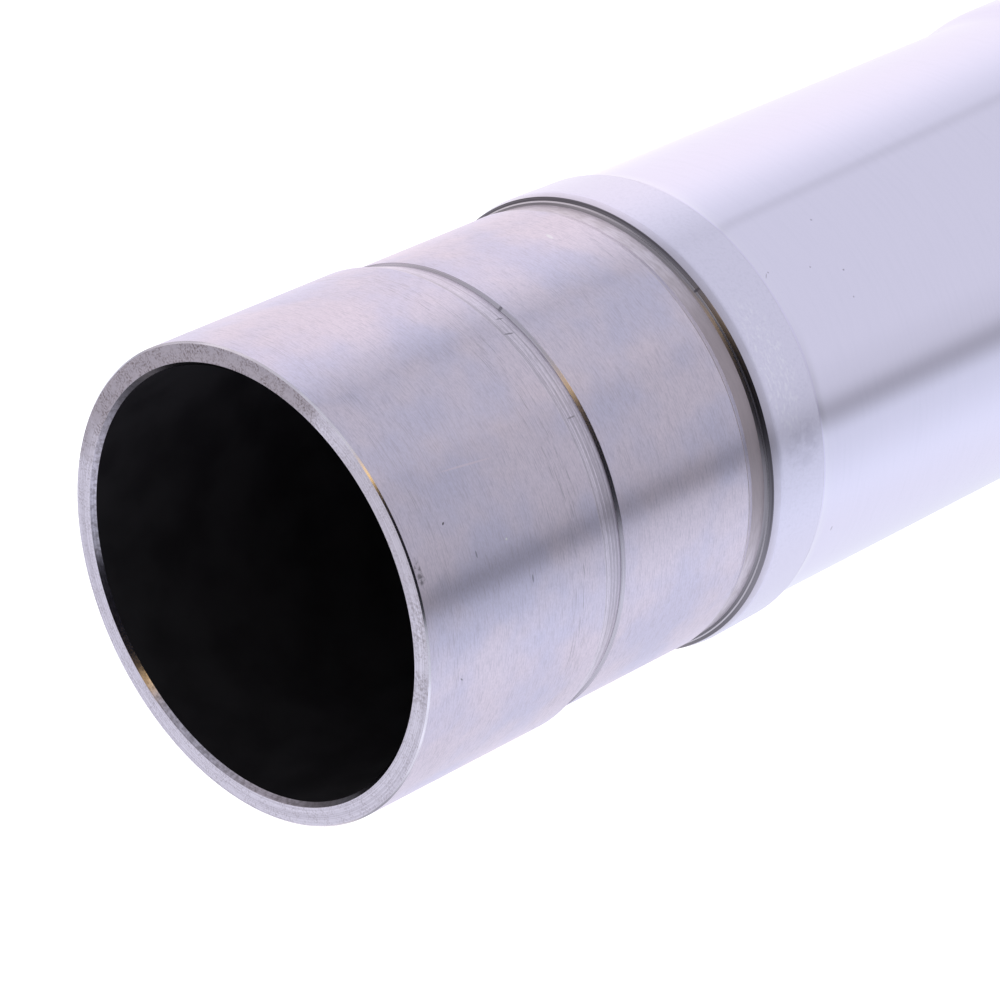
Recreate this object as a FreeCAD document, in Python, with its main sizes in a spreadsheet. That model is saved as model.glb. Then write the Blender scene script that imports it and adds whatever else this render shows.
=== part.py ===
import FreeCAD, Part

import math
import os

import Sketcher

# Motorcycle fork tube: one length of steel tube, turned, ground and hard chromed.
# It stands on its plain end. The tube's axis is +Z, and the origin is the middle of the plain end's face.
# The other end, the tip, carries the seat of the slide bush. Sizes along the tube are counted down from it.

doc = FreeCAD.newDocument("ForkTube")


# Driving dimensions, in millimetres

SIZES = [
    # the whole tube
    ("tube_diameter", 43.0, "outside diameter of the full-size length, which the yokes clamp"),
    ("tube_length", 520.0, "overall length"),
    ("wall_thickness", 2.25, "wall of the full-size length"),
    # the tip
    ("tip_land_length", 20.7, "from the tip's face to the end of the ground land"),
    ("tip_land_depth", 0.1, "how far the land lies under full size"),
    ("tip_edge_break", 0.15, "broken outer edge of the tip's face"),
    ("tip_bore_chamfer", 0.4, "chamfered inner edge of the tip's face"),
    # the seat of the split slide bush
    ("cone_width", 2.75, "turned cone behind the land"),
    ("cone_depth", 0.3, "how far the cone's end lies under the seat"),
    ("seat_edge_width", 0.2, "steep face from the cone's end up to the seat"),
    ("seat_width", 15.65, "width of the ground seat, which the bush covers"),
    ("seat_depth", 0.6, "how far the seat lies under full size"),
    # the relief between the seat and the collar
    ("seat_runout", 0.55, "slope from the seat down to the relief"),
    ("relief_width", 1.57, "plain floor of the relief"),
    ("relief_depth", 0.2, "how far it lies under the seat"),
    # the collar that the bush is stopped by
    ("wall_foot_width", 0.2, "steep face from the relief up to the ledge"),
    ("ledge_width", 0.23, "narrow ledge half way up the collar's wall"),
    ("ledge_rise", 0.04, "how far the ledge lies above the seat"),
    ("wall_top_width", 0.2, "steep face from the ledge up to the rim"),
    ("collar_width", 6.53, "from the collar's rim to its rear edge"),
    ("lead_length", 0.95, "lead-in cone behind the collar's rim"),
    ("lead_depth", 0.2, "depth of that cone"),
    ("collar_taper", 0.12, "how far the collar's rear edge lies under full size"),
    # the long recess behind the collar
    ("recess_length", 59.6, "from the collar's rear edge to the full-size length"),
    ("recess_depth", 0.75, "how far the recess lies under full size"),
    ("near_runout", 2.6, "hollow curve from the collar's rear edge into the recess"),
    ("far_runout", 5.1, "double curve from the recess up to full size"),
    # the plain end
    ("foot_chamfer", 0.5, "outer and inner edge of the plain end's face"),
]

sheet = doc.addObject("Spreadsheet::Sheet", "sizes")
for row, (alias, value, meaning) in enumerate(SIZES, start=1):
    sheet.set("A%d" % row, alias)
    sheet.set("B%d" % row, str(value))
    sheet.set("C%d" % row, meaning)
    sheet.setAlias("B%d" % row, alias)
doc.recompute()


# Places worked out from the sheet: radii, and distances down from the tip

FULL_RADIUS = "sizes.tube_diameter / 2"
BORE_RADIUS = FULL_RADIUS + " - sizes.wall_thickness"
LAND_RADIUS = FULL_RADIUS + " - sizes.tip_land_depth"
SEAT_RADIUS = FULL_RADIUS + " - sizes.seat_depth"
CONE_RADIUS = SEAT_RADIUS + " - sizes.cone_depth"
RELIEF_RADIUS = SEAT_RADIUS + " - sizes.relief_depth"
LEDGE_RADIUS = SEAT_RADIUS + " + sizes.ledge_rise"
RIM_RADIUS = FULL_RADIUS + " - sizes.lead_depth"
COLLAR_REAR_RADIUS = FULL_RADIUS + " - sizes.collar_taper"
RECESS_RADIUS = FULL_RADIUS + " - sizes.recess_depth"

LAND_END = "sizes.tip_land_length"
CONE_END = LAND_END + " + sizes.cone_width"
SEAT_START = CONE_END + " + sizes.seat_edge_width"
SEAT_END = SEAT_START + " + sizes.seat_width"
RELIEF_START = SEAT_END + " + sizes.seat_runout"
RELIEF_END = RELIEF_START + " + sizes.relief_width"
LEDGE_START = RELIEF_END + " + sizes.wall_foot_width"
LEDGE_END = LEDGE_START + " + sizes.ledge_width"
RIM = LEDGE_END + " + sizes.wall_top_width"
LEAD_END = RIM + " + sizes.lead_length"
COLLAR_REAR = RIM + " + sizes.collar_width"
RECESS_START = COLLAR_REAR + " + sizes.near_runout"
RECESS_STOP = COLLAR_REAR + " + sizes.recess_length - sizes.far_runout"
FULL_START = COLLAR_REAR + " + sizes.recess_length"

# A turning tool starts and ends in the air, this far outside the tube and past its tip.
AIR = "1"


def value_of(formula):
    """The formula's value, worked out from the sheet."""
    return float(sheet.evalExpression(formula))


# The tube blank: a ring, padded to the tube's length

tube = doc.addObject("PartDesign::Body", "fork_tube")
tube.Label = "fork_tube"
tube.Placement = FreeCAD.Placement()

# How a sketch numbers the points of an element, and its own origin
START, END, CENTRE = 1, 2, 3
ORIGIN = (-1, START)


def new_sketch(name, role):
    """An empty sketch on one of the body's own origin planes."""
    plane = next(plane for plane in tube.Origin.OriginFeatures if plane.Role == role)
    sketch = tube.newObject("Sketcher::SketchObject", name)
    sketch.AttachmentSupport = (plane, [""])
    sketch.MapMode = "FlatFace"
    return sketch


def dimension(sketch, name, formula, kind, *elements):
    """A named dimension whose value follows the sheet."""
    index = sketch.addConstraint(Sketcher.Constraint(kind, *elements, value_of(formula)))
    sketch.renameConstraint(index, name)
    sketch.setExpression("Constraints." + name, formula)


ring = new_sketch("ring_section", "XY_Plane")
for name, formula in (("outside", FULL_RADIUS), ("inside", BORE_RADIUS)):
    circle = ring.addGeometry(Part.Circle(FreeCAD.Vector(), FreeCAD.Vector(0, 0, 1), value_of(formula)))
    ring.addConstraint(Sketcher.Constraint("Coincident", circle, CENTRE, *ORIGIN))
    dimension(ring, name, formula, "Radius", circle)

blank = tube.newObject("PartDesign::Pad", "tube_blank")
blank.Profile = ring
blank.setExpression("Length", "sizes.tube_length")
doc.recompute()


# Turning and grinding: each cut is an outline beside the axis, turned once round it

LINE = "straight line"
CURVE_IN = "arc that ends along the tube"
CURVE_OUT = "arc that starts along the tube"


def arc_middle(touching, other):
    """The middle of the arc that lies along the tube at the touching point, and ends at the other."""
    chord = other - touching
    lean = math.atan2(abs(chord.x), abs(chord.y))
    rise = chord.Length / 2 * math.tan(lean / 2)
    across = FreeCAD.Vector(-chord.y, chord.x, 0).normalize()
    if across.x * chord.x > 0:
        across = -across
    return (touching + other) / 2 + across * rise


def edge_shape(form, start, end):
    """The sketch element of one edge of an outline."""
    if form == CURVE_IN:
        return Part.Arc(start, arc_middle(end, start), end)
    if form == CURVE_OUT:
        return Part.Arc(start, arc_middle(start, end), end)
    return Part.LineSegment(start, end)


def turned_cut(name, outline):
    """Turn away all that lies outside the outline.

    Its corners are (radius, place, form) in order down the tube, where form is that of the
    edge that leads to the corner. It is closed through the air outside the tube.
    """
    air_radius = FULL_RADIUS + " + " + AIR
    corners = outline + [(air_radius, outline[-1][1], LINE), (air_radius, outline[0][1], LINE)]
    radii = [radius for radius, place, form in corners]
    heights = ["sizes.tube_length - (" + place + ")" for radius, place, form in corners]
    points = [FreeCAD.Vector(value_of(radius), value_of(height), 0) for radius, height in zip(radii, heights)]

    section = new_sketch(name + "_section", "XZ_Plane")
    for index, (radius, place, form) in enumerate(corners):
        section.addGeometry(edge_shape(form, points[index - 1], points[index]))

    def end_at(edge, point):
        """Which end of the edge lies at the point: an arc may be stored the other way round."""
        to_start = section.getPoint(edge, START).distanceToPoint(point)
        to_end = section.getPoint(edge, END).distanceToPoint(point)
        return START if to_start < to_end else END

    for index, (radius, place, form) in enumerate(corners):
        following = (index + 1) % len(corners)
        corner = (index, end_at(index, points[index]))
        next_start = (following, end_at(following, points[index]))
        section.addConstraint(Sketcher.Constraint("Coincident", *corner, *next_start))
        dimension(section, "radius_%d" % index, radii[index], "DistanceX", *ORIGIN, *corner)
        dimension(section, "height_%d" % index, heights[index], "DistanceY", *ORIGIN, *corner)
    arcs = [index for index, corner in enumerate(corners) if corner[2] != LINE]
    for index in arcs:
        touching = points[index] if corners[index][2] == CURVE_IN else points[index - 1]
        section.addConstraint(Sketcher.Constraint("Horizontal", index, CENTRE, index, end_at(index, touching)))

    before = tube.Shape.Volume
    cut = tube.newObject("PartDesign::Groove", name)
    cut.Profile = section
    cut.ReferenceAxis = (section, ["V_Axis"])
    cut.Angle = 360
    doc.recompute()
    if not cut.Shape.Volume < before:
        raise RuntimeError(name + " cuts nothing")
    return cut


turned_cut("tip_land", [
    (LAND_RADIUS, "-" + AIR, LINE),
    (LAND_RADIUS, LAND_END, LINE),
])


# Broken and chamfered edges of the two end faces

def chamfered(name, base, radius, height, length):
    """Chamfer the round edge of the base that has the radius and lies at the height."""
    wanted = (value_of(radius), value_of(height))
    names = [
        "Edge%d" % index
        for index, edge in enumerate(base.Shape.Edges, start=1)
        if isinstance(edge.Curve, Part.Circle)
        and math.isclose(edge.Curve.Radius, wanted[0], abs_tol=1e-6)
        and math.isclose(edge.Curve.Center.z, wanted[1], abs_tol=1e-6)
    ]
    chamfer = tube.newObject("PartDesign::Chamfer", name)
    chamfer.Base = (base, names)
    chamfer.setExpression("Size", length)
    doc.recompute()
    return chamfer


edge = tube.Tip
edge = chamfered("tip_outer_edge", edge, LAND_RADIUS, "sizes.tube_length", "sizes.tip_edge_break")
edge = chamfered("tip_bore_edge", edge, BORE_RADIUS, "sizes.tube_length", "sizes.tip_bore_chamfer")
edge = chamfered("foot_outer_edge", edge, FULL_RADIUS, "0", "sizes.foot_chamfer")
edge = chamfered("foot_bore_edge", edge, BORE_RADIUS, "0", "sizes.foot_chamfer")


# The bush's seat, from the cone that frees the grinding wheel to the collar's lead-in
# The collar's wall has a narrow ledge half way up, where the tool was set back.

turned_cut("bush_seat", [
    (LAND_RADIUS, LAND_END, LINE),
    (CONE_RADIUS, CONE_END, LINE),
    (SEAT_RADIUS, SEAT_START, LINE),
    (SEAT_RADIUS, SEAT_END, LINE),
    (RELIEF_RADIUS, RELIEF_START, LINE),
    (RELIEF_RADIUS, RELIEF_END, LINE),
    (LEDGE_RADIUS, LEDGE_START, LINE),
    (LEDGE_RADIUS, LEDGE_END, LINE),
    (RIM_RADIUS, RIM, LINE),
    (FULL_RADIUS, LEAD_END, LINE),
])


# The collar's gentle taper, and the polished recess with its two run-outs
# The far run-out is two equal arcs, which meet half way between the recess and full size.

MID_RADIUS = FULL_RADIUS + " - sizes.recess_depth / 2"
MID_PLACE = RECESS_STOP + " + sizes.far_runout / 2"

turned_cut("recess", [
    (FULL_RADIUS, LEAD_END, LINE),
    (COLLAR_REAR_RADIUS, COLLAR_REAR, LINE),
    (RECESS_RADIUS, RECESS_START, CURVE_IN),
    (RECESS_RADIUS, RECESS_STOP, LINE),
    (MID_RADIUS, MID_PLACE, CURVE_OUT),
    (FULL_RADIUS, FULL_START, CURVE_IN),
])


# The finished model is checked, then written

doc.recompute()
for made in doc.Objects:
    if "Invalid" in made.State or "Error" in made.State:
        raise RuntimeError(made.Name + " did not build")
if tube.Shape.isNull() or not tube.Shape.isValid() or len(tube.Shape.Solids) != 1:
    raise RuntimeError("the tube is not one valid solid")

os.makedirs("parts", exist_ok=True)
tube.Shape.exportStep("parts/" + tube.Label + ".step")
print(tube.Label, "volume", round(tube.Shape.Volume / 1000, 2), "cm3")
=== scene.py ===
import math

import bpy
import numpy as np
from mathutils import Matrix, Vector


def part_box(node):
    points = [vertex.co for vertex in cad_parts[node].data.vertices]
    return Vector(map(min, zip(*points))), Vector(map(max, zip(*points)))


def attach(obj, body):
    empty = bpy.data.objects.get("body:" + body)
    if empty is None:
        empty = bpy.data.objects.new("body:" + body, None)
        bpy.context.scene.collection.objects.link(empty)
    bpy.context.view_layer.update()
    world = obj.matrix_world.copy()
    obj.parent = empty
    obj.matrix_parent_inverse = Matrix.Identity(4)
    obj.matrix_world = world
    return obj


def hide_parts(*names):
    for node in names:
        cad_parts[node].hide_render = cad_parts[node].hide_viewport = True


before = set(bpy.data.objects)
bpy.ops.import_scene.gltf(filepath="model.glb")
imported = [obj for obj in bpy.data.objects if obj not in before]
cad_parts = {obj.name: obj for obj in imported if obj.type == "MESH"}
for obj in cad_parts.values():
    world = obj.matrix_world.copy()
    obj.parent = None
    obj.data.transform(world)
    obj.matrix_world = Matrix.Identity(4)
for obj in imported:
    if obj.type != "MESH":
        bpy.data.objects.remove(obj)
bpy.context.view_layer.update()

MM = 0.001


# The end face and the mouth of the bore.
# The tip is faced flat on the lathe and left bare, so it shows rings from the tool. One side of it is
# stained and pitted, and its front is dull. Both its edges are chamfered, and the inner one has burrs.

TUBE = "fork_tube"
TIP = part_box(TUBE)[1][2]
FULL = 21.5 * MM
BORE = FULL - 2.25 * MM
LAND = FULL - 0.1 * MM
MOUTH_CHAMFER = 0.4 * MM
TIP_CHAMFER = 0.15 * MM
ALONG = (0.0, 0.0, 1.0)
AWAY = (0.0, 1.0, 0.0)
CAMERA_SIDE = 270.0
FACE_COLOUR = (0.84, 0.80, 0.89)
FACE_RING = (0.42, 0.385, 0.44)
FACE_WORN = (0.43, 0.38, 0.405)
FACE_STAIN = (0.23, 0.19, 0.195)
STAINED_SIDE = (0.978, -0.208, 0.0)
STAIN_START = 15.0 * MM
STAIN_STOP = 19.5 * MM
STAIN_RAGGED = 8 * MM
TOOL_DEPTH = 0.003 * MM
MOUTH_COLOUR = (0.44, 0.41, 0.47)
MOUTH_LINE = (0.60, 0.56, 0.63)
MOUTH_BURR = (0.20, 0.18, 0.19)
# The next three give the painted shade on the mouth chamfer: its colour, and where it fades out.
MOUTH_PAINTED_SHADE = (0.05, 0.045, 0.05)
MOUTH_FULL_SHADE_STOP = 3 * MM
MOUTH_UNSHADED_START = 13 * MM
EDGE_COLOUR = (0.78, 0.74, 0.80)
EDGE_GLINT = (0.90, 0.86, 0.92)

corners = []


def corner(radius, place, rounding, finish, rings=None):
    """Add a corner to the outline of the section. Its radius is from the axis and its place is down
    from the tip. The finish is that of the stretch that leads on, and rings are its pitch and depth."""
    corners.append((radius, place, rounding, finish, rings))


def node(tree, kind, inputs, **settings):
    """Add a shader node. An input that is a socket is linked, and any other is written."""
    made = tree.nodes.new(kind)
    for name, value in settings.items():
        setattr(made, name, value)
    for name, value in inputs.items():
        if isinstance(value, bpy.types.NodeSocket):
            tree.links.new(value, made.inputs[name])
        else:
            made.inputs[name].default_value = value
    return made


def maths(tree, operation, first, second=0.0):
    """The result of a sum on two values."""
    return node(tree, "ShaderNodeMath", {0: first, 1: second}, operation=operation).outputs[0]


def band(tree, value, start, stop, low=0.0, high=1.0):
    """A value carried smoothly from low to high while it goes from start to stop."""
    inputs = {"Value": value, "From Min": start, "From Max": stop, "To Min": low, "To Max": high}
    return node(tree, "ShaderNodeMapRange", inputs, interpolation_type="SMOOTHSTEP").outputs[0]


def blend(tree, share, first, second):
    """One colour turning into another as the share goes from 0 to 1."""
    made = node(tree, "ShaderNodeMix", {0: share}, data_type="RGBA")
    for socket, colour in ((made.inputs[6], first), (made.inputs[7], second)):
        if isinstance(colour, bpy.types.NodeSocket):
            tree.links.new(colour, socket)
        else:
            socket.default_value = (*colour, 1.0)
    return made.outputs[2]


def location(tree):
    """The place on the tube, in metres from the middle of its plain end."""
    return node(tree, "ShaderNodeTexCoord", {}).outputs["Object"]


def unrolled(tree, axis):
    """The place on the unrolled skin: X is the arc round the tube, and Y the run along the outline."""
    flat = node(tree, "ShaderNodeUVMap", {}, uv_map="unrolled").outputs[0]
    return node(tree, "ShaderNodeSeparateXYZ", {0: flat}).outputs[axis]


def toward(tree, direction):
    """How far the place on the tube lies towards a direction."""
    inputs = {0: location(tree), 1: direction}
    return node(tree, "ShaderNodeVectorMath", inputs, operation="DOT_PRODUCT").outputs["Value"]


def grain(tree, around, across, detail=2.0):
    """Noise drawn out round the tube as a turning or a grinding tool leaves it: around is how many
    times it changes in a metre round the tube, and across how many times along the outline."""
    parts = node(tree, "ShaderNodeSeparateXYZ", {0: location(tree)})
    x = maths(tree, "MULTIPLY", parts.outputs["X"], around)
    y = maths(tree, "MULTIPLY", parts.outputs["Y"], around)
    z = maths(tree, "MULTIPLY", unrolled(tree, "Y"), across)
    vector = node(tree, "ShaderNodeCombineXYZ", {0: x, 1: y, 2: z}).outputs[0]
    return node(tree, "ShaderNodeTexNoise", {"Vector": vector, "Scale": 1.0, "Detail": detail}).outputs["Fac"]


def cloud(tree, scale, detail=3.0):
    """Even noise that changes scale times in a metre."""
    inputs = {"Vector": location(tree), "Scale": scale, "Detail": detail}
    return node(tree, "ShaderNodeTexNoise", inputs).outputs["Fac"]


def steel(name, roughness):
    """A metal with its tree and its shader, without its colour."""
    material = bpy.data.materials.new(name)
    material.use_nodes = True
    tree = material.node_tree
    shader = tree.nodes["Principled BSDF"]
    shader.inputs["Metallic"].default_value = 1.0
    shader.inputs["Roughness"].default_value = roughness
    return material, tree, shader


def paint(tree, shader, colour):
    """Give a metal its colour."""
    tree.links.new(colour, shader.inputs["Base Color"])


def relief(tree, shader, height, depth):
    """Give a metal the unevenness of height, depth metres deep."""
    made = node(tree, "ShaderNodeBump", {"Height": height, "Distance": depth, "Strength": 1.0})
    tree.links.new(made.outputs[0], shader.inputs["Normal"])


def mark(tree, colour, angle, place, wide, long, spot, slant=0.0, strength=1.0):
    """A small mark of the colour spot over colour: an ellipse wide and long, round the tube and along
    it, that slants by slant. Its angle is from the camera's side, and its place from the tip."""
    aside = maths(tree, "SUBTRACT", unrolled(tree, "X"), math.radians(CAMERA_SIDE - angle) * FULL)
    down = maths(tree, "SUBTRACT", TIP - place, toward(tree, ALONG))
    aside = maths(tree, "SUBTRACT", aside, maths(tree, "MULTIPLY", down, slant))
    across = maths(tree, "POWER", maths(tree, "ABSOLUTE", maths(tree, "DIVIDE", aside, wide)), 2.0)
    along = maths(tree, "POWER", maths(tree, "ABSOLUTE", maths(tree, "DIVIDE", down, long)), 2.0)
    share = band(tree, maths(tree, "ADD", across, along), 0.3, 1.3, strength, 0.0)
    return blend(tree, share, colour, spot)


end_face, tree, shader = steel("faced_end", roughness=0.34)
tool_rings = grain(tree, around=60.0, across=9000.0, detail=3.0)
grains = band(tree, cloud(tree, 5000.0, 4.0), 0.41, 0.66)
pits = maths(tree, "MULTIPLY", grains, band(tree, cloud(tree, 900.0, 4.0), 0.30, 0.62))
ragged = maths(tree, "MULTIPLY", cloud(tree, 260.0, 4.0), STAIN_RAGGED)
stained = band(tree, maths(tree, "ADD", toward(tree, STAINED_SIDE), ragged), STAIN_START, STAIN_STOP)
more_pits = maths(tree, "ADD", maths(tree, "MULTIPLY", stained, 0.62), 0.38)
pitted = maths(tree, "MULTIPLY", pits, more_pits)
toned = blend(tree, maths(tree, "MULTIPLY", stained, 0.85), FACE_COLOUR, FACE_WORN)
ringed = blend(tree, band(tree, tool_rings, 0.38, 0.62, high=0.40), toned, FACE_RING)
colour = blend(tree, pitted, ringed, FACE_STAIN)
spotted = band(tree, cloud(tree, 2600.0, 5.0), 0.40, 0.70, high=0.5)
colour = mark(tree, colour, 0.0, 0.0, 8 * MM, 1 * MM, FACE_WORN, strength=0.32)
colour = mark(tree, colour, 24.0, 0.0, 2.6 * MM, 1 * MM, FACE_STAIN, strength=spotted)
colour = mark(tree, colour, 41.0, 0.0, 1.8 * MM, 1 * MM, FACE_STAIN, strength=spotted)
paint(tree, shader, colour)
relief(tree, shader, maths(tree, "SUBTRACT", tool_rings, pits), TOOL_DEPTH)

mouth, tree, shader = steel("deburred_mouth", roughness=0.17)
lines = band(tree, grain(tree, around=80.0, across=12000.0), 0.3, 0.7)
burrs = band(tree, cloud(tree, 2600.0, 4.0), 0.38, 0.66, high=0.6)
colour = blend(tree, burrs, blend(tree, lines, MOUTH_COLOUR, MOUTH_LINE), MOUTH_BURR)
# Painted shade: the mouth chamfer is painted nearly black on the near side and flanks of the bore, fading out
# on its far side.
mouth_shade = band(tree, toward(tree, AWAY), MOUTH_FULL_SHADE_STOP, MOUTH_UNSHADED_START, 0.85, 0.0)
paint(tree, shader, blend(tree, mouth_shade, colour, MOUTH_PAINTED_SHADE))

edge, tree, shader = steel("broken_edge", roughness=0.16)
glints = band(tree, cloud(tree, 350.0, 2.0), 0.35, 0.65)
paint(tree, shader, blend(tree, glints, EDGE_COLOUR, EDGE_GLINT))

corner(BORE, MOUTH_CHAMFER, 0.04 * MM, "mouth")
corner(BORE + MOUTH_CHAMFER, 0.0, 0.05 * MM, "end_face")
corner(LAND - TIP_CHAMFER, 0.0, 0.02 * MM, "edge")
corner(LAND, TIP_CHAMFER, 0.02 * MM, "land")


# The land behind the tip and the bush's seat.
# Both are ground bare steel, a little under full size. The grinding leaves short streaks round the
# tube, which spread what they mirror along it, soft patches that are bluer or warmer, and scores.

LAND_END = 20.7 * MM
LAND_WARM = (0.92, 0.82, 0.91)
LAND_COOL = (0.80, 0.76, 0.92)
LAND_DARK = (0.58, 0.53, 0.62)
SCORE = (0.46, 0.42, 0.47)
SMUDGE = (0.30, 0.27, 0.30)
PIT = (0.10, 0.09, 0.11)
SCRATCH = (0.97, 0.84, 0.92)
BRIGHT = (1.0, 1.0, 1.0)
TIP_SCORES = 3.1 * MM
CONE_SCORES = 17.8 * MM


def ground(name, roughness, warm, cool, dark):
    """Ground steel: streaks drawn out round the tube over patches of two tints."""
    material, tree, shader = steel(name, roughness)
    shader.inputs["Anisotropic"].default_value = 1.0
    shader.inputs["Anisotropic Rotation"].default_value = 0.25
    tangent = node(tree, "ShaderNodeTangent", {}, direction_type="RADIAL", axis="Z").outputs[0]
    tree.links.new(tangent, shader.inputs["Tangent"])
    streaks = band(tree, grain(tree, around=900.0, across=9000.0, detail=3.0), 0.45, 0.75, high=0.5)
    specks = band(tree, grain(tree, around=3800.0, across=9000.0, detail=1.0), 0.3, 0.7, high=0.25)
    toned = blend(tree, band(tree, cloud(tree, 130.0), 0.38, 0.66), warm, cool)
    return material, tree, shader, blend(tree, specks, blend(tree, streaks, toned, dark), dark)


def zone(tree, place, core, rim, strength):
    """A band round the tube, at a place down from the tip, that fades from its core to its rim."""
    away = maths(tree, "ABSOLUTE", maths(tree, "SUBTRACT", TIP - place, toward(tree, ALONG)))
    return band(tree, away, core, rim, strength, 0.0)


land, tree, shader, colour = ground("ground_land", 0.29, LAND_WARM, LAND_COOL, LAND_DARK)
scores = band(tree, grain(tree, around=450.0, across=14000.0, detail=3.0), 0.56, 0.70)
mottled = band(tree, cloud(tree, 3000.0, 2.0), 0.40, 0.66, 0.15, 0.9)
behind_tip = zone(tree, TIP_SCORES, 0.6 * MM, 1.2 * MM, 0.5)
before_cone = zone(tree, CONE_SCORES, 0.8 * MM, 1.6 * MM, 0.7)
scored = maths(tree, "MULTIPLY", scores, maths(tree, "MAXIMUM", behind_tip, before_cone))
before_relief = maths(tree, "MULTIPLY", scores, 0.6)
colour = blend(tree, scored, colour, SCORE)
colour = mark(tree, colour, 12.5, 0.55 * MM, 1.2 * MM, 0.4 * MM, SMUDGE, strength=mottled)
colour = mark(tree, colour, 14.5, 0.7 * MM, 0.4 * MM, 0.35 * MM, SMUDGE, strength=mottled)
colour = mark(tree, colour, 5.3, 4.58 * MM, 0.10 * MM, 0.13 * MM, PIT, slant=0.5)
colour = mark(tree, colour, 14.3, 10.35 * MM, 0.12 * MM, 0.12 * MM, BRIGHT)
colour = mark(tree, colour, 41.0, 3.7 * MM, 0.09 * MM, 0.15 * MM, PIT, slant=-0.8, strength=0.7)
colour = mark(tree, colour, 14.5, 6.85 * MM, 0.35 * MM, 0.09 * MM, PIT, strength=0.5)
colour = mark(tree, colour, 25.3, 12.3 * MM, 0.4 * MM, 0.1 * MM, PIT, strength=0.5)
colour = mark(tree, colour, -4.1, 9.3 * MM, 0.1 * MM, 2.9 * MM, SCRATCH, slant=-0.12, strength=0.5)
colour = mark(tree, colour, -38.0, 38.2 * MM, 3.6 * MM, 0.9 * MM, SCORE, strength=before_relief)
colour = mark(tree, colour, -51.5, 35.3 * MM, 0.5 * MM, 0.25 * MM, BRIGHT, slant=1.2, strength=0.6)
paint(tree, shader, colour)


# The cone between the land and the seat.
# It is turned down behind the land to free the grinding wheel, with a few rings from the tool and
# some nicks, and it ends at a short steep face up to the seat.

CONE_END = 23.45 * MM
SEAT_START = 23.66 * MM
SEAT = FULL - 0.6 * MM
CONE = SEAT - 0.3 * MM
RING_PITCH = 0.55 * MM
RING_DEPTH = 0.010 * MM
CONE_WARM = (0.96, 0.875, 0.97)
CONE_COOL = (0.90, 0.825, 0.94)
CONE_DARK = (0.47, 0.43, 0.49)
CONE_LINE = (0.44, 0.40, 0.45)
RING_COLOUR = (0.52, 0.49, 0.54)
RING_LINE = (0.68, 0.64, 0.71)

cone, tree, shader, colour = ground("turned_cone", 0.29, CONE_WARM, CONE_COOL, CONE_DARK)
turned = band(tree, grain(tree, around=25.0, across=5200.0, detail=1.0), 0.50, 0.60, high=0.55)
colour = blend(tree, turned, colour, CONE_LINE)
colour = mark(tree, colour, -28.0, 21.6 * MM, 0.09 * MM, 0.7 * MM, PIT, strength=0.6)
colour = mark(tree, colour, -33.0, 22.3 * MM, 0.08 * MM, 0.5 * MM, PIT, strength=0.6)
colour = mark(tree, colour, -4.0, 21.9 * MM, 0.08 * MM, 0.6 * MM, PIT, strength=0.5)
paint(tree, shader, colour)

ring_face, tree, shader = steel("ring_face", roughness=0.22)
lines = band(tree, grain(tree, around=80.0, across=12000.0), 0.3, 0.7)
colour = blend(tree, lines, RING_COLOUR, RING_LINE)
colour = mark(tree, colour, -36.0, 23.55 * MM, 0.18 * MM, 0.3 * MM, PIT, strength=0.6)
paint(tree, shader, colour)

corner(LAND, LAND_END, 0.1 * MM, "cone", rings=(RING_PITCH, RING_DEPTH))
corner(CONE, CONE_END, 0.0, "ring_face")
corner(SEAT, SEAT_START, 0.04 * MM, "land")


# The relief at the end of the seat, and the shoulder of the collar.
# A fine line ends the seat, and a shallow slope leads down to a matt band that is stained brown in
# front. The shoulder climbs from it to the collar's rim by two walls, with a pale ledge between. The
# walls are painted dark as shade, the upper one darker than the lower, and both lighter to one side.

SEAT_END = 39.3 * MM
LINE_WIDTH = 0.1 * MM
RELIEF_START = 39.85 * MM
RELIEF_END = 41.42 * MM
RELIEF = SEAT - 0.2 * MM
RELIEF_WARM = (0.80, 0.73, 0.80)
RELIEF_COOL = (0.72, 0.65, 0.70)
RELIEF_BROWN = (0.43, 0.37, 0.385)
RELIEF_LINE = (0.35, 0.305, 0.32)
BROWN_SIDE = (-0.225, -0.974, 0.0)
BROWN_START = 15.0 * MM
BROWN_STOP = 20.0 * MM
LEDGE_START = 41.60 * MM
LEDGE_END = 41.80 * MM
LEDGE = SEAT
LEDGE_RISE = 0.1 * MM
RIM_START = 42.05 * MM
RIM = FULL - 0.2 * MM
# The wall colours below are painted shade on the shoulder's two walls, with a less shaded side.
UPPER_WALL_SHADE_DARK = (0.12, 0.11, 0.125)
UPPER_WALL_SHADE_PALE = (0.23, 0.215, 0.24)
LOWER_WALL_SHADE_DARK = (0.25, 0.23, 0.25)
LOWER_WALL_SHADE_PALE = (0.40, 0.37, 0.40)
LESS_SHADED_WALL = (0.32, 0.30, 0.33)
LESS_SHADED_SIDE = (-1.0, -0.1, 0.0)
LESS_SHADED_START = 14 * MM
LESS_SHADED_STOP = 21 * MM
LEDGE_DARK = (0.44, 0.41, 0.44)
LEDGE_PALE = (0.58, 0.54, 0.58)

relief_band, tree, shader = steel("stained_relief", roughness=0.34)
patches = band(tree, cloud(tree, 500.0), 0.35, 0.65)
lines = band(tree, grain(tree, around=900.0, across=9000.0), 0.35, 0.7, high=0.4)
brown = band(tree, toward(tree, BROWN_SIDE), BROWN_START, BROWN_STOP)
toned = blend(tree, brown, blend(tree, patches, RELIEF_WARM, RELIEF_COOL), RELIEF_BROWN)
paint(tree, shader, blend(tree, lines, toned, RELIEF_LINE))


def nicked(tree, shader, colour):
    """Give the shoulder its colour, with the short dark nick that runs over its upper wall."""
    paint(tree, shader, mark(tree, colour, -19.0, 41.85 * MM, 0.15 * MM, 0.3 * MM, PIT, strength=0.8))


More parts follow.
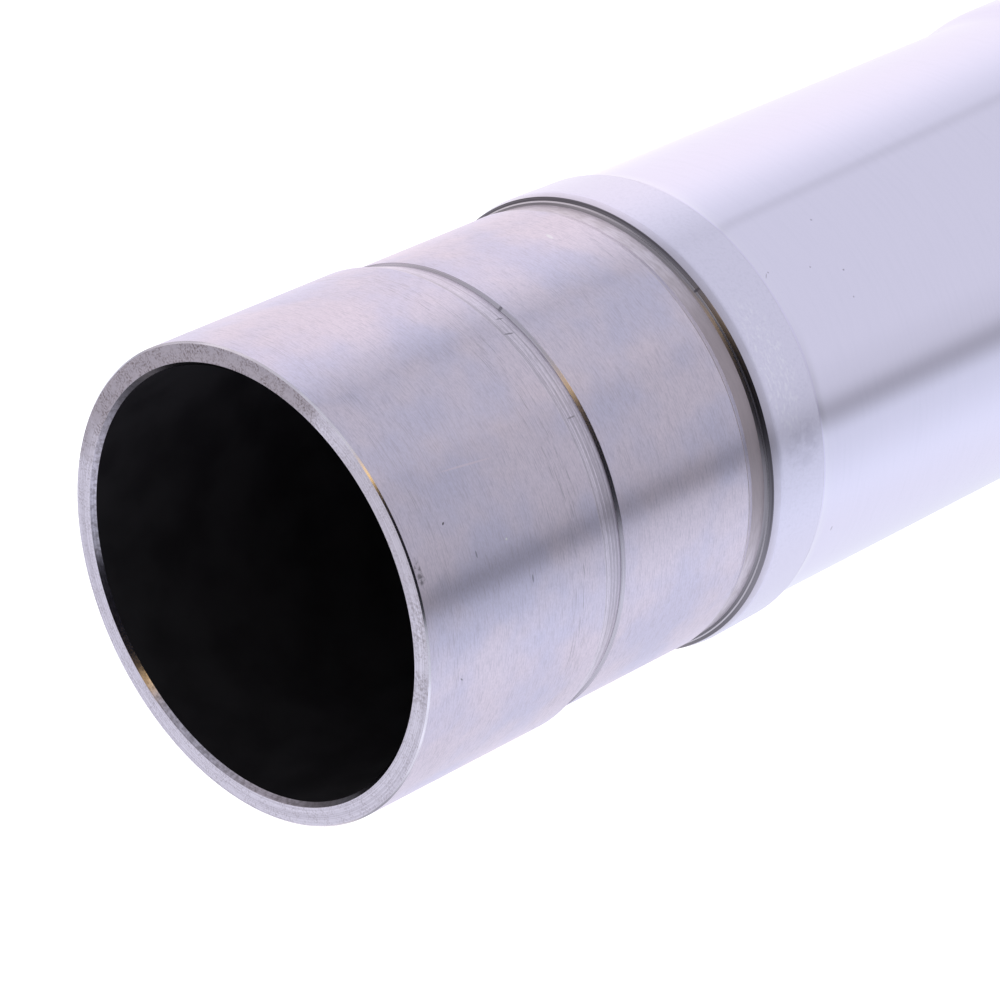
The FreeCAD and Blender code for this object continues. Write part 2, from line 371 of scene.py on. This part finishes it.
shoulder, tree, shader = steel("shaded_turned_shoulder", roughness=0.3)
lines = band(tree, grain(tree, around=60.0, across=9000.0), 0.35, 0.65)
# Painted shade: both walls are painted dark, the upper wall darker, and lighter towards one side where less
# shade is painted.
lower = band(tree, toward(tree, ALONG), TIP - LEDGE_END, TIP - LEDGE_START)
dark = blend(tree, lower, UPPER_WALL_SHADE_DARK, LOWER_WALL_SHADE_DARK)
pale = blend(tree, lower, UPPER_WALL_SHADE_PALE, LOWER_WALL_SHADE_PALE)
less_shaded = band(tree, toward(tree, LESS_SHADED_SIDE), LESS_SHADED_START, LESS_SHADED_STOP)
nicked(tree, shader, blend(tree, less_shaded, blend(tree, lines, dark, pale), LESS_SHADED_WALL))

ledge, tree, shader = steel("turned_ledge", roughness=0.25)
lines = band(tree, grain(tree, around=60.0, across=9000.0), 0.35, 0.65)
nicked(tree, shader, blend(tree, lines, LEDGE_DARK, LEDGE_PALE))

corner(SEAT, SEAT_END - LINE_WIDTH, 0.0, "relief")
corner(SEAT, SEAT_END, 0.03 * MM, "land")
corner(RELIEF, RELIEF_START, 0.0, "relief")
corner(RELIEF, RELIEF_END, 0.0, "shoulder")
corner(LEDGE, LEDGE_START, 0.0, "ledge")
corner(LEDGE + LEDGE_RISE, LEDGE_END, 0.0, "shoulder")
corner(RIM, RIM_START, 0.04 * MM, "lead")


# The collar in front of the recess.
# It has a worn lead for the bush, which fades softly into full size, and a slight taper. The lead is
# painted darker next to the rim as shade, lightening towards the collar. Its chrome is frosted, with
# bright flecks and a dusky patch, up to a fine line at the recess.

LEAD_END = 43.0 * MM
LEAD_ROUNDING = 2 * MM
COLLAR_END = 48.58 * MM
COLLAR_TAPER = 0.12 * MM
EDGE_LINE = 0.08 * MM
COLLAR_COLOUR = (0.825, 0.79, 0.925)
COLLAR_DULL = (0.70, 0.67, 0.81)
COLLAR_DUSKY = (0.66, 0.63, 0.75)
FLECK = (0.95, 0.93, 1.0)
FROST_DEPTH = 0.003 * MM
LEAD_PAINTED_SHADE = (0.66, 0.62, 0.71)
LEAD_PALE = (0.80, 0.765, 0.895)
LEAD_WORN = (0.62, 0.58, 0.66)

collar, tree, shader = steel("frosted_chrome", roughness=0.24)
frost = cloud(tree, 3600.0, 3.0)
flecks = band(tree, grain(tree, around=1500.0, across=3600.0, detail=4.0), 0.48, 0.66, high=0.5)
dusky = band(tree, cloud(tree, 900.0, 3.0), 0.35, 0.65, 0.1, 0.6)
colour = blend(tree, band(tree, frost, 0.45, 0.70, high=0.3), COLLAR_COLOUR, COLLAR_DULL)
colour = mark(tree, colour, 5.0, 44.9 * MM, 7 * MM, 2.2 * MM, FLECK, strength=flecks)
colour = mark(tree, colour, 25.0, 46.0 * MM, 2.2 * MM, 2.4 * MM, COLLAR_DUSKY, strength=dusky)
paint(tree, shader, colour)
relief(tree, shader, frost, FROST_DEPTH)

lead, tree, shader = steel("worn_shaded_lead", roughness=0.22)
worn = band(tree, cloud(tree, 700.0, 4.0), 0.35, 0.65, high=0.3)
# Painted shade: the lead is darkest at the rim of the shoulder and lightens towards the collar.
fading = band(tree, toward(tree, ALONG), TIP - RIM_START, TIP - LEAD_END)
paint(tree, shader, blend(tree, worn, blend(tree, fading, LEAD_PAINTED_SHADE, LEAD_PALE), LEAD_WORN))

corner(FULL, LEAD_END, LEAD_ROUNDING, "collar")
corner(FULL - COLLAR_TAPER, COLLAR_END - EDGE_LINE, 0.0, "lead")
corner(FULL - COLLAR_TAPER, COLLAR_END, 0.02 * MM, "chrome")


# The polished recess and the long stem behind it.
# The hard chrome is smooth here and mirrors softly. The recess runs in along a hollow curve and out
# along a slow double curve, and it has a few small pits.

RECESS = FULL - 0.75 * MM
RUN_IN = 1.22 * MM
RUN_IN_ROUNDING = 5.2 * MM
RECESS_END = COLLAR_END + 55.8 * MM
STEM_START = RECESS_END + 2.5 * MM
RUN_OUT_ROUNDING = 8.8 * MM
CHROME_COLOUR = (0.87, 0.83, 0.97)
CHROME_POLISH = (0.82, 0.79, 0.93)
CHROME_DEPTH = 0.0006 * MM

chrome, tree, shader = steel("hard_chrome", roughness=0.08)
haze = band(tree, cloud(tree, 90.0, 4.0), 0.35, 0.7, 0.065, 0.095)
tree.links.new(haze, shader.inputs["Roughness"])
polish = band(tree, grain(tree, around=200.0, across=3000.0), 0.4, 0.8, high=0.3)
colour = blend(tree, polish, CHROME_COLOUR, CHROME_POLISH)
colour = mark(tree, colour, -15.3, 49.75 * MM, 0.08 * MM, 0.3 * MM, PIT, slant=0.8, strength=0.4)
colour = mark(tree, colour, -16.0, 50.3 * MM, 0.1 * MM, 0.1 * MM, PIT, strength=0.4)
colour = mark(tree, colour, -9.0, 58.3 * MM, 0.10 * MM, 0.12 * MM, PIT, strength=0.45)
colour = mark(tree, colour, -24.0, 58.8 * MM, 0.12 * MM, 0.12 * MM, PIT, strength=0.35)
colour = mark(tree, colour, -2.0, 57.8 * MM, 0.1 * MM, 0.1 * MM, PIT, strength=0.35)
colour = mark(tree, colour, -13.0, 55.0 * MM, 0.1 * MM, 0.1 * MM, PIT, strength=0.35)
colour = mark(tree, colour, 55.0, 52.0 * MM, 0.3 * MM, 0.12 * MM, PIT, strength=0.3)
paint(tree, shader, colour)
relief(tree, shader, cloud(tree, 500.0, 1.0), CHROME_DEPTH)

corner(RECESS, COLLAR_END + RUN_IN, RUN_IN_ROUNDING, "chrome")
corner(RECESS, RECESS_END, RUN_OUT_ROUNDING, "chrome")
corner(FULL, STEM_START, RUN_OUT_ROUNDING, "chrome")


# The plain end and the bore.
# The far end is cut off square, with both its edges chamfered. The bore runs right through. It has a
# dull dark skin, and it is painted near black to also stand for the shade deep inside it.

FOOT_CHAMFER = 0.5 * MM
BORE_SHADE_DARK = (0.010, 0.009, 0.012)
BORE_SHADE_PALE = (0.018, 0.017, 0.021)

bore, tree, shader = steel("shaded_dark_bore", roughness=0.5)
shader.inputs["Metallic"].default_value = 0.0
# Painted shade: the bore's near-black colour is partly its dull skin and partly the shade inside it.
paint(tree, shader, blend(tree, band(tree, cloud(tree, 200.0), 0.3, 0.7), BORE_SHADE_DARK, BORE_SHADE_PALE))

corner(FULL, TIP - FOOT_CHAMFER, 0.05 * MM, "ring_face")
corner(FULL - FOOT_CHAMFER, TIP, 0.05 * MM, "end_face")
corner(BORE + FOOT_CHAMFER, TIP, 0.05 * MM, "ring_face")
corner(BORE, TIP - FOOT_CHAMFER, 0.05 * MM, "bore")


# The tube's skin.
# The outline that the sections above give is turned once round the axis. Each corner that is given a
# rounding is rounded, so that it takes the light as a real edge does.

COLUMNS = 448
SMALL_STEPS = 3
LARGE_STEPS = 12
LARGE_ROUNDING = 1 * MM
SUPPORT = 0.05 * MM
LONGEST = 60 * MM
RING_ROWS = 7
SHARP_ANGLE = math.radians(38)
FINISHES = {
    "end_face": end_face,
    "mouth": mouth,
    "edge": edge,
    "ring_face": ring_face,
    "land": land,
    "cone": cone,
    "relief": relief_band,
    "shoulder": shoulder,
    "ledge": ledge,
    "lead": lead,
    "collar": collar,
    "chrome": chrome,
    "bore": bore,
}


def rounded(before, at, after, radius):
    """The points that round a corner: a circle that touches both edges, as far from the corner as
    its radius times the tangent of half the turn, cut into even steps of the turn."""
    into = (at - before) / np.linalg.norm(at - before)
    away = (after - at) / np.linalg.norm(after - at)
    turn = math.atan2(into[0] * away[1] - into[1] * away[0], into @ away)
    if radius == 0.0:
        return at[None, :]
    start = at - into * radius * math.tan(abs(turn) / 2)
    centre = start + np.array([-into[1], into[0]]) * math.copysign(radius, turn)
    angles = np.linspace(0.0, turn, 1 + (SMALL_STEPS if radius < LARGE_ROUNDING else LARGE_STEPS))
    spoke = start - centre
    cosines, sines = np.cos(angles), np.sin(angles)
    return centre + np.stack([cosines * spoke[0] - sines * spoke[1], sines * spoke[0] + cosines * spoke[1]], 1)


def straight(start, stop, rings):
    """The points of a stretch between two corners. Two lie close to its ends, so that its shading
    stays flat, and rings from a tool are a wave across it that fades at both ends."""
    length = np.linalg.norm(stop - start)
    along = (stop - start) / length
    if rings:
        pitch, depth = rings
        distance = np.linspace(0.0, length, int(length / pitch * RING_ROWS) + 1)
        wave = depth * np.sin(2 * math.pi * distance / pitch) * np.sin(math.pi * distance / length)
    else:
        margin = min(SUPPORT, length / 4)
        inner = np.linspace(margin, length - margin, 2 + int(length / LONGEST))
        distance = np.concatenate([[0.0], inner, [length]])
        wave = np.zeros_like(distance)
    across = np.array([-along[1], along[0]])
    return start + distance[:, None] * along + wave[:, None] * across


points = np.array([c[:2] for c in corners])
befores, afters = np.roll(points, 1, axis=0), np.roll(points, -1, axis=0)
arcs = [rounded(b, p, a, c[2]) for b, p, a, c in zip(befores, points, afters, corners)]
stretches, stretch_finishes = [], []
for arc, following, (_, _, _, finish, rings) in zip(arcs, arcs[1:] + arcs[:1], corners):
    stretch = np.concatenate([arc[:-1], straight(arc[-1], following[0], rings)[:-1]])
    stretches.append(stretch)
    stretch_finishes += [finish] * len(stretch)
outline = np.concatenate(stretches)

angles = np.linspace(0.0, 2 * math.pi, COLUMNS, endpoint=False)
vertices = np.empty((len(outline), COLUMNS, 3))
vertices[..., 0] = outline[:, :1] * np.cos(angles)
vertices[..., 1] = outline[:, :1] * np.sin(angles)
vertices[..., 2] = TIP - outline[:, 1:]
row, column = np.meshgrid(np.arange(len(outline)), np.arange(COLUMNS), indexing="ij")
next_row, next_column = (row + 1) % len(outline), (column + 1) % COLUMNS
quads = np.stack([
    row * COLUMNS + column,
    next_row * COLUMNS + column,
    next_row * COLUMNS + next_column,
    row * COLUMNS + next_column,
], axis=-1).reshape(-1, 4)
lengths = np.linalg.norm(np.roll(outline, -1, axis=0) - outline, axis=1)
run = np.concatenate([[0.0], np.cumsum(lengths)])
arc = np.linspace(0.0, 2 * math.pi * FULL, COLUMNS + 1)
flat_skin = np.stack([
    np.stack([arc[column], run[row]], -1),
    np.stack([arc[column], run[row + 1]], -1),
    np.stack([arc[column + 1], run[row + 1]], -1),
    np.stack([arc[column + 1], run[row]], -1),
], axis=2)

mesh = bpy.data.meshes.new("turned_tube")
mesh.from_pydata(vertices.reshape(-1, 3), [], quads)
mesh.uv_layers.new(name="unrolled").data.foreach_set("uv", flat_skin.reshape(-1))
names = list(FINISHES)
for name in names:
    mesh.materials.append(FINISHES[name])
mesh.polygons.foreach_set("material_index", np.repeat([names.index(f) for f in stretch_finishes], COLUMNS))
mesh.polygons.foreach_set("use_smooth", np.ones(len(quads), dtype=bool))
mesh.update()
mesh.set_sharp_from_angle(angle=SHARP_ANGLE)
tube = bpy.data.objects.new("turned_tube", mesh)
bpy.context.collection.objects.link(tube)
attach(tube, "root")
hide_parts(TUBE)


# The floor.
# A plain white table that keeps the tube's shadow. The camera sees it a little brighter than it is
# lit, so that the background is white, and the metal mirrors it as pure white.

FLOOR_SIDE = 8.0
FLOOR_COLOUR = (0.9, 0.9, 0.9, 1.0)
FLOOR_FILL = 0.30

half = FLOOR_SIDE / 2
floor_mesh = bpy.data.meshes.new("floor")
floor_corners = [(-half, -half, 0), (half, -half, 0), (half, half, 0), (-half, half, 0)]
floor_mesh.from_pydata(floor_corners, [], [(0, 1, 2, 3)])
floor = bpy.data.objects.new("floor", floor_mesh)
bpy.context.collection.objects.link(floor)
paper = bpy.data.materials.new("white_table")
paper.use_nodes = True
tree = paper.node_tree
tree.nodes.clear()
rays = node(tree, "ShaderNodeLightPath", {}).outputs
fill = maths(tree, "MULTIPLY", rays["Is Camera Ray"], FLOOR_FILL)
lit = node(tree, "ShaderNodeBsdfDiffuse", {"Color": FLOOR_COLOUR}).outputs[0]
filled = node(tree, "ShaderNodeEmission", {"Strength": fill}).outputs[0]
seen = node(tree, "ShaderNodeAddShader", {0: lit, 1: filled}).outputs[0]
white = node(tree, "ShaderNodeEmission", {"Strength": 1.0}).outputs[0]
mirrored = node(tree, "ShaderNodeMixShader", {0: rays["Is Glossy Ray"], 1: seen, 2: white}).outputs[0]
node(tree, "ShaderNodeOutputMaterial", {0: mirrored})
floor_mesh.materials.append(paper)


# The light tent.
# A round tent of pale cloth that only shows in the metal. Its front is in shade, with a dark gap to
# one side, and the camera looks in through a black opening that has a strip of gold card beside it.
# Its zones are degrees of turn or lean round the tube's reflections, and of rise over the horizon.

TENT_CENTRE = 0.46
TENT_RADIUS = 0.45
TENT_COLUMNS = 360
TENT_ROWS = 170
LOOK = (0.0, 0.756, -0.654)
LOOK_OVER = (0.0, 0.756, 0.654)
STRAIGHT_RISE = -41.0
FRONT = 0.685
LEFT = 1.0
RIGHT = 0.855
BACK = 1.10
FRONT_UPPER = 0.53
FRONT_TOP = 0.33
UP = 0.60
DOME = 0.80
BLACK = (0.015, 0.015, 0.02)
GOLD = (1.4, 0.97, 0.40)
CLOTH_TINT = (1.0, 1.022, 1.13)
PINK_TINT = (1.0, 0.965, 1.02)
COOL_TINT = (0.0, 0.025, 0.045)
LEFT_TURNS = (-114.0, -60.0)
RIGHT_TURNS = (48.0, 92.0)
BACK_TURNS = (130.0, 175.0)
SEAM_TURNS = (-69.0, -64.5, -64.5, -59.0)
SHADED_TURNS = (-72.0, -54.0, 46.0, 58.0)
UPPER_TURNS = (-84.0, -56.0, 48.0, 72.0)
COOL_TURNS = (40.0, 54.0, 76.0, 110.0)
PINK_TURNS = (-112.0, -66.0)
GAP_RIM_TURNS = (12.0, 34.0)
GAP_CORE_TURNS = (26.0, 42.0)
GAP_LOW_TURNS = (-16.0, 30.0)
GAP_END_TURNS = (42.0, 56.0)
GAP_DEEPER = (4.0, 14.0, 18.0, 27.0)
BELT_RISES = (-4.0, 6.0, 16.0, 28.0)
OPENING_LEANS = (-9.0, -8.2, 22.0, 25.0)
GOLD_LEANS = (-16.0, -9.6, -9.0, -8.2)


def ease(value, start, stop):
    """0 below start and 1 above stop, with an even slope that fades at both ends."""
    share = np.clip((value - start) / (stop - start), 0.0, 1.0)
    return share * share * (3.0 - 2.0 * share)


def between(value, start, full, fading, stop):
    """1 from full to fading, 0 below start and above stop, and eased on the way."""
    return ease(value, start, full) * (1.0 - ease(value, fading, stop))


around = np.linspace(-180.0, 180.0, TENT_COLUMNS + 1)[None, :]
rise = np.linspace(-89.5, 89.5, TENT_ROWS)[:, None]
flat = np.cos(np.radians(rise))
directions = np.stack([
    -np.sin(np.radians(around)) * flat,
    -np.cos(np.radians(around)) * flat,
    np.sin(np.radians(rise)) + 0.0 * around,
], axis=-1)
tent_points = directions * TENT_RADIUS
tent_points[..., 2] += TENT_CENTRE

# The lean is the side of the tube that mirrors a direction to the camera, and the turn is twice that.
facing = directions - np.array(LOOK)
lean = np.degrees(np.arctan2(-facing[..., 0] * np.sign(-facing[..., 1]), np.abs(facing[..., 1])))
turn = 2.0 * lean

# The wall: its left and right are brighter than its front, its back is brightest, and it has a seam.
left = 1.0 - ease(turn, *LEFT_TURNS) ** 1.6
right = ease(turn, *RIGHT_TURNS)
back = ease(np.abs(turn), *BACK_TURNS)
wall = FRONT + (LEFT - FRONT) * left + (RIGHT - FRONT) * right - 0.07 * between(turn, *SEAM_TURNS)
wall = wall + (BACK - 0.18 * right - wall) * back

# The shade: the front gets darker with height, in two steps.
shaded = between(turn, *SHADED_TURNS)
tone = wall + (FRONT_UPPER - wall) * between(turn, *UPPER_TURNS) * ease(rise, -34.0, -12.0)
tone = tone + (FRONT_TOP - tone) * shaded * ease(rise, -12.0, 12.0)

# The gap: a dark strip on the right, wider and darker just above the rise that straight stretches mirror.
deeper = between(rise - STRAIGHT_RISE, *GAP_DEEPER)
gap = 0.09 * ease(turn, *GAP_RIM_TURNS) + 0.31 * ease(turn, *GAP_CORE_TURNS) ** 2
gap = gap + 0.14 * ease(turn, *GAP_LOW_TURNS) * (1.0 - ease(rise, -82.0, -58.0))
gap = gap * (1.0 - ease(turn - 3.0 * deeper, *GAP_END_TURNS)) * (1.0 + 0.30 * deeper)
belt = (1.0 - shaded) * between(rise, *BELT_RISES)
tone = (tone - 0.50 * belt) * (1.0 - gap)

# The roof, and the dome over the end face.
above = UP + 0.16 * back + 0.35 * ease(turn, 56.0, 90.0)
tone = tone + (above - tone) * ease(rise, 15.0, 42.0)
dome = ease(directions @ np.array(LOOK_OVER), 0.70, 0.94)
tone = tone + (DOME - tone) * dome

# The colours: pinker on the left, cooler on the right, the black opening and the gold card.
pink = 1.0 - ease(turn, *PINK_TURNS)[..., None]
cool = between(turn, *COOL_TURNS)[..., None]
opening = (between(lean, *OPENING_LEANS) * ease(rise, -4.0, 8.0) * (1.0 - dome))[..., None]
gold = (between(lean, *GOLD_LEANS) * ease(rise, 22.0, 34.0) * (1.0 - dome))[..., None]
tint = np.array(CLOTH_TINT) * (1.0 - pink) + np.array(PINK_TINT) * pink
tint = tint * (1.0 + np.array(COOL_TINT) * cool)
colour = np.ones((TENT_ROWS, TENT_COLUMNS + 1, 4))
colour[..., :3] = tone[..., None] * tint
colour[..., :3] += (np.array(GOLD) - colour[..., :3]) * gold
colour[..., :3] += (np.array(BLACK) - colour[..., :3]) * opening

row, column = np.meshgrid(np.arange(TENT_ROWS - 1), np.arange(TENT_COLUMNS), indexing="ij")
first = row * (TENT_COLUMNS + 1) + column
tent_quads = np.stack([first, first + 1, first + TENT_COLUMNS + 2, first + TENT_COLUMNS + 1], -1).reshape(-1, 4)
tent_mesh = bpy.data.meshes.new("light_tent")
tent_mesh.from_pydata(tent_points.reshape(-1, 3), [], tent_quads)
tent_mesh.color_attributes.new("cloth", "FLOAT_COLOR", "POINT").data.foreach_set("color", colour.reshape(-1))
cloth = bpy.data.materials.new("tent_cloth")
cloth.use_nodes = True
tree = cloth.node_tree
tree.nodes.clear()
painted = node(tree, "ShaderNodeAttribute", {}, attribute_name="cloth").outputs["Color"]
glow = node(tree, "ShaderNodeEmission", {"Color": painted, "Strength": 1.0})
node(tree, "ShaderNodeOutputMaterial", {0: glow.outputs[0]})
tent_mesh.materials.append(cloth)
tent = bpy.data.objects.new("light_tent", tent_mesh)
bpy.context.collection.objects.link(tent)
tent.visible_camera = False
tent.visible_diffuse = False
tent.visible_transmission = False
tent.visible_shadow = False


# The light and the camera.
# Soft light comes from all round and from one wide lamp overhead. The camera looks down at the tip
# with a long lens, and it is rolled, so that the tube runs up to the right.

WORLD_WHITE = (1.0, 1.0, 1.0, 1.0)
WORLD_STRENGTH = 0.6
LAMP_SIZE = 1.2
LAMP_POWER = 30.0
LAMP_PLACE = (-0.5, 0.3, 2.0)
LAMP_TURN = (-8.5, -14.0, 0.0)
CAMERA_LENS = 162.05
CAMERA_SENSOR = 36.0
CAMERA_NEAR = 0.01
CAMERA_PLACE = (0.0, -0.30098, 0.74190)
CAMERA_TURN = (-27.0710, 44.0583, -125.8626)

world = bpy.data.worlds.new("studio")
bpy.context.scene.world = world
world.use_nodes = True
world.node_tree.nodes["Background"].inputs["Color"].default_value = WORLD_WHITE
world.node_tree.nodes["Background"].inputs["Strength"].default_value = WORLD_STRENGTH

lamp_data = bpy.data.lights.new("overhead", "AREA")
lamp_data.shape = "DISK"
lamp_data.size = LAMP_SIZE
lamp_data.energy = LAMP_POWER
lamp = bpy.data.objects.new("overhead", lamp_data)
lamp.location = LAMP_PLACE
lamp.rotation_euler = [math.radians(angle) for angle in LAMP_TURN]
lamp.visible_glossy = False
bpy.context.collection.objects.link(lamp)

camera_data = bpy.data.cameras.new("camera")
camera_data.lens = CAMERA_LENS
camera_data.sensor_width = CAMERA_SENSOR
camera_data.clip_start = CAMERA_NEAR
camera = bpy.data.objects.new("camera", camera_data)
camera.location = CAMERA_PLACE
camera.rotation_euler = [math.radians(angle) for angle in CAMERA_TURN]
bpy.context.collection.objects.link(camera)
bpy.context.scene.camera = camera
bpy.context.scene.view_settings.view_transform = "Standard"
